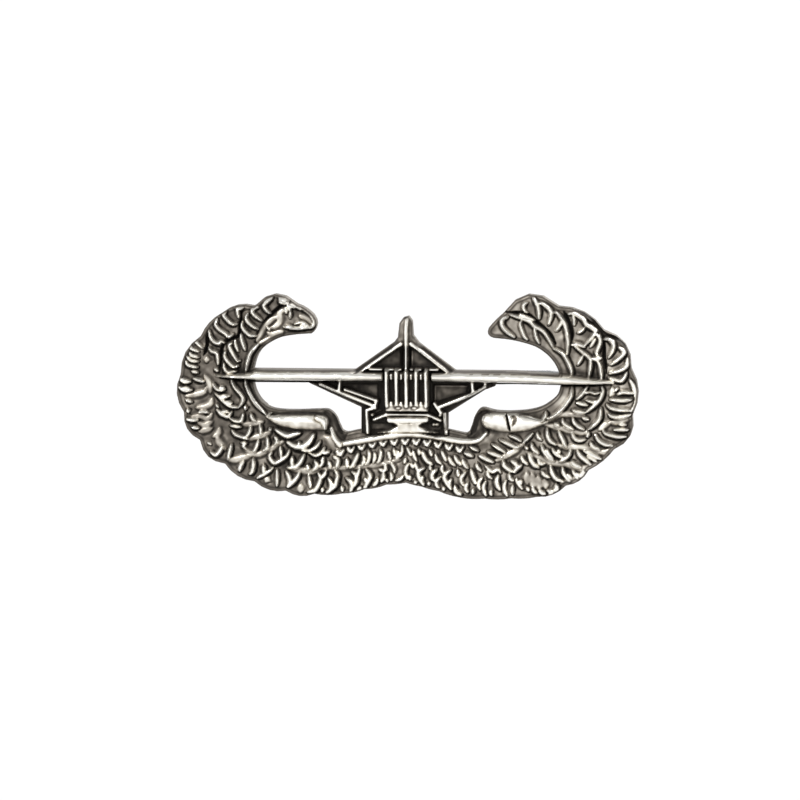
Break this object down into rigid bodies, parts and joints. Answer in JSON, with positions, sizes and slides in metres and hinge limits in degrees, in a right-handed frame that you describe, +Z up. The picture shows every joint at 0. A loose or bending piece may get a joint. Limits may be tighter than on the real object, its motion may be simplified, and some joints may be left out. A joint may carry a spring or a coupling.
{
  "type": "glider wings badge pin",
  "caption": "Small antique-silver badge: a glider seen from the front, set in a wreath of curled feathered wings, with a hinged brooch pin and a locking catch behind.",
  "frame": {"origin": "centre of the badge, level with the glider's wing bar, on the wreath's flat back", "axes": "+X along the wings to the wearer's left, +Y out of the badge's back towards the cloth, +Z up as the badge is worn; the relief faces -Y"},
  "size_m": [0.0211, 0.0044, 0.0093],
  "materials": {
    "antique_silver": "satin",
    "solder": "satin",
    "nickel_plate": "gloss",
    "pin_steel": "gloss",
    "roller_brass": "satin"
  },
  "bodies": {
    "badge": {"badge_casting": "antique_silver", "hinge_solder": "solder", "hinge_bracket": "nickel_plate", "hinge_rivet": "pin_steel", "catch_solder": "solder", "catch_body": "nickel_plate"},
    "stem": {"pin_stem": "pin_steel"},
    "roller": {"catch_roller": "roller_brass"}
  },
  "joints": [
    {"name": "stem_swing", "type": "hinge", "parent": "badge", "child": "stem", "pos_m": [-0.0084, 0.0015, 0], "axis": [0, 0, 1], "range_deg": [0, 100]},
    {"name": "catch_turn", "type": "hinge", "parent": "badge", "child": "roller", "pos_m": [0.00825, 0.0015, 0], "axis": [1, 0, 0], "range_deg": [-110, 0]}
  ]
}
